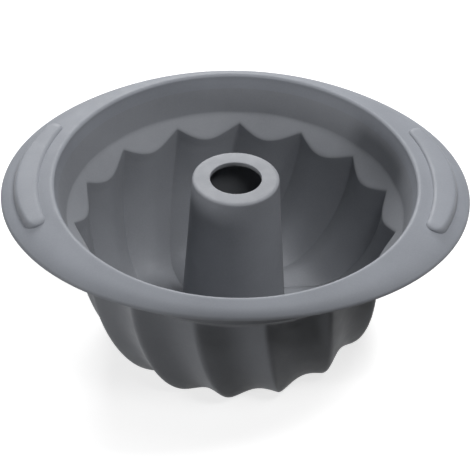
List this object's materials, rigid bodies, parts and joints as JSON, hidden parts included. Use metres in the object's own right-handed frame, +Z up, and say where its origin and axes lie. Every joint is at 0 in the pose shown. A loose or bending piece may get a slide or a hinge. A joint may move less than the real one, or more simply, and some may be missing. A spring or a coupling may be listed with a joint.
{
  "type": "kugelhopf mould",
  "caption": "Round soft bakeware mould with twisted flutes, a hollow centre chimney, a sloping shoulder and an oval rim flange with end grips.",
  "frame": {"origin": "on the chimney's axis, on the surface the mould stands on", "axes": "+X along the long axis of the flange towards the right grip pad, +Y to the back, +Z up out of the open cavity"},
  "size_m": [0.2844, 0.2424, 0.115],
  "materials": {
    "silicone_rim": "satin",
    "silicone_grip": "satin",
    "silicone_bowl": "satin",
    "silicone_chimney": "satin",
    "ring_steel": "drawn wire"
  },
  "bodies": {
    "root": {"rim_bead": "silicone_rim", "stiffening_ring": "ring_steel", "rim_flange": "silicone_rim", "grip_pad_left": "silicone_grip", "grip_pad_right": "silicone_grip", "collar": "silicone_bowl", "shoulder": "silicone_bowl", "flute_1": "silicone_bowl", "flute_2": "silicone_bowl", "flute_3": "silicone_bowl", "flute_4": "silicone_bowl", "flute_5": "silicone_bowl", "flute_6": "silicone_bowl", "flute_7": "silicone_bowl", "flute_8": "silicone_bowl", "flute_9": "silicone_bowl", "flute_10": "silicone_bowl", "flute_11": "silicone_bowl", "flute_12": "silicone_bowl", "flute_13": "silicone_bowl", "flute_14": "silicone_bowl", "flute_15": "silicone_bowl", "flute_floor": "silicone_bowl", "chimney": "silicone_chimney", "chimney_cap": "silicone_chimney"}
  },
  "joints": []
}
